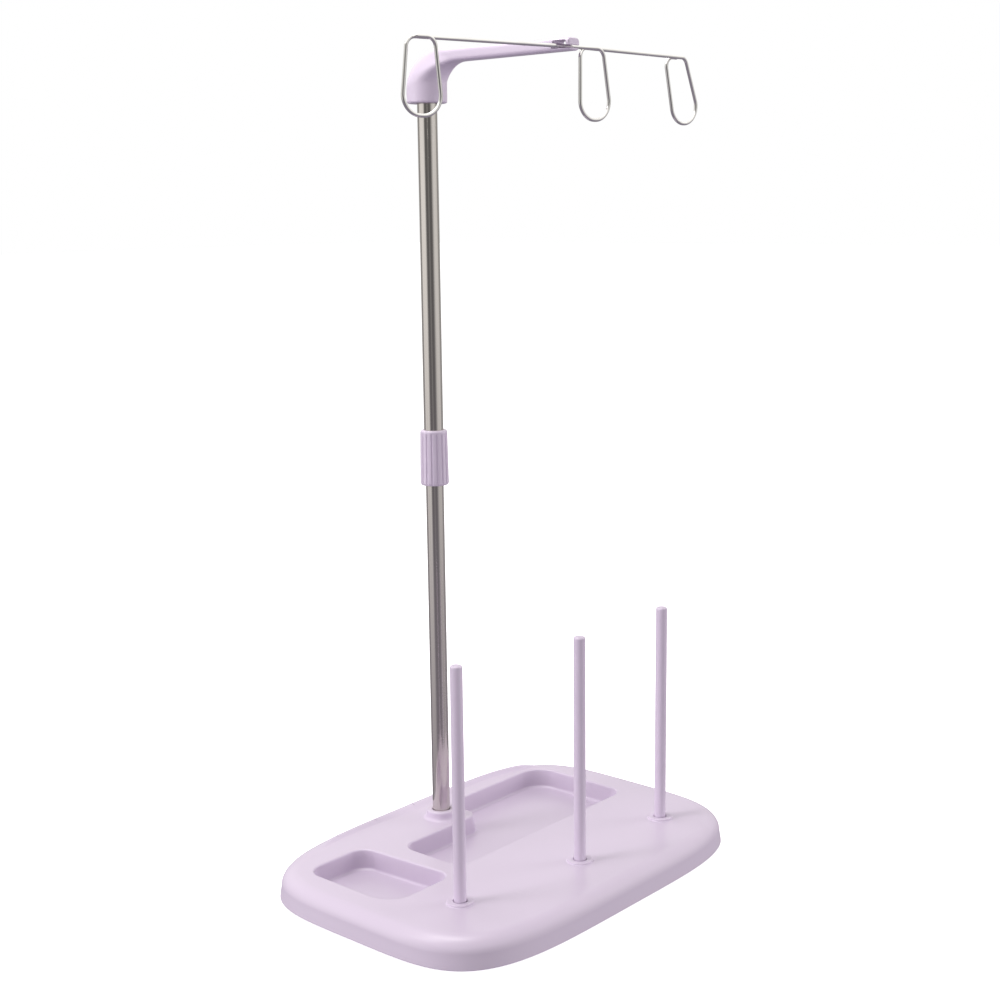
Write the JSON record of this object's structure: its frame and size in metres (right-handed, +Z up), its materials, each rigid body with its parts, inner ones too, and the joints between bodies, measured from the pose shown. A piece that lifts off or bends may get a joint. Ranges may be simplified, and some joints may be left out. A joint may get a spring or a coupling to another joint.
{
  "type": "thread spool holder stand",
  "caption": "Moulded base with spool pins and recessed trays, a telescopic pole and a swivelling arm that carries a bent-wire thread guide.",
  "frame": {"origin": "centre of the base's footprint, on the surface that the rubber feet stand on", "axes": "+Z up along the pole, +X along the base's long side, +Y from the spool pins towards the pole"},
  "size_m": [0.2314, 0.1614, 0.4204],
  "materials": {
    "lavender_plastic": "pale lavender ABS moulding, satin to gloss",
    "brushed_stainless": "drawn and brushed stainless tube, lines along the tube",
    "bright_wire": "bright drawn steel wire",
    "natural_nylon": "off-white nylon, matt",
    "zinc_plated": "bright zinc plate",
    "grey_rubber": "dark grey rubber, matt"
  },
  "bodies": {
    "base": {"base_shell": "lavender_plastic", "spool_pin_left": "lavender_plastic", "spool_pin_middle": "lavender_plastic", "spool_pin_right": "lavender_plastic", "pin_screw_left": "zinc_plated", "pin_screw_middle": "zinc_plated", "pin_screw_right": "zinc_plated", "rubber_foot_front_left": "grey_rubber", "rubber_foot_front_right": "grey_rubber", "rubber_foot_rear_left": "grey_rubber", "rubber_foot_rear_right": "grey_rubber", "lower_pole": "brushed_stainless", "pole_foot_insert": "zinc_plated", "pole_washer": "zinc_plated", "pole_screw": "zinc_plated", "slide_bush": "natural_nylon"},
    "mast": {"upper_pole": "brushed_stainless", "collet": "natural_nylon", "mast_plug": "natural_nylon"},
    "collar": {"lock_collar": "lavender_plastic"},
    "guide_arm": {"arm": "lavender_plastic", "wire_guide": "bright_wire"}
  },
  "joints": [
    {"name": "mast_slide", "type": "slide", "parent": "base", "child": "mast", "axis": [0, 0, 1], "range_m": [-0.135, 0]},
    {"name": "collar_turn", "type": "hinge", "parent": "mast", "child": "collar", "pos_m": [0, 0.0488, 0.215], "axis": [0, 0, 1], "range_deg": [0, 90]},
    {"name": "arm_swivel", "type": "hinge", "parent": "mast", "child": "guide_arm", "pos_m": [0, 0.0488, 0.4], "axis": [0, 0, 1], "continuous": true}
  ]
}
